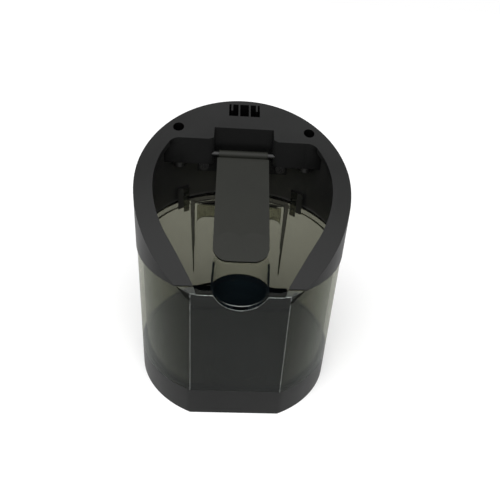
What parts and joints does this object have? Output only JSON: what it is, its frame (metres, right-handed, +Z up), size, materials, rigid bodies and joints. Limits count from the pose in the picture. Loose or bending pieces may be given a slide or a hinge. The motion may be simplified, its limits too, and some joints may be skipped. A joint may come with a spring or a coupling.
{
  "type": "dirty water tank",
  "caption": "Round, flat-fronted clear tank with a slanted collar, suction pipe and hinged flap, for a floor washer's dirty water.",
  "frame": {"origin": "on the ground, at the middle of the tank's round body (the middle of the round base)", "axes": "+Z up, -Y out of the flat front face, +Y towards the high rear of the collar, X across"},
  "size_m": [0.111, 0.1053, 0.1413],
  "materials": {
    "smoke_clear": "smoke-tinted clear, polished",
    "dark_plastic": "fine matte texture",
    "seal_rubber": "black, dull",
    "screw_steel": "blackened"
  },
  "bodies": {
    "tank": {"tank_body": "smoke_clear", "base_cap": "dark_plastic", "base_seal": "seal_rubber", "standpipe": "smoke_clear", "pipe_seal": "seal_rubber", "mouth_ring": "smoke_clear", "inlet_valve": "seal_rubber", "inlet_seal": "seal_rubber", "inlet_retainer": "dark_plastic", "retainer_screws": "screw_steel", "collar": "dark_plastic", "collar_seal": "seal_rubber", "collar_screws": "screw_steel", "inner_frame": "dark_plastic", "frame_screws": "screw_steel", "hinge_pins": "screw_steel"},
    "flap": {"flap": "dark_plastic"}
  },
  "joints": [
    {"name": "flap_hinge", "type": "hinge", "parent": "tank", "child": "flap", "pos_m": [0, 0.0275, 0.11781], "axis": [-1, 0, 0], "range_deg": [0, 120]}
  ]
}
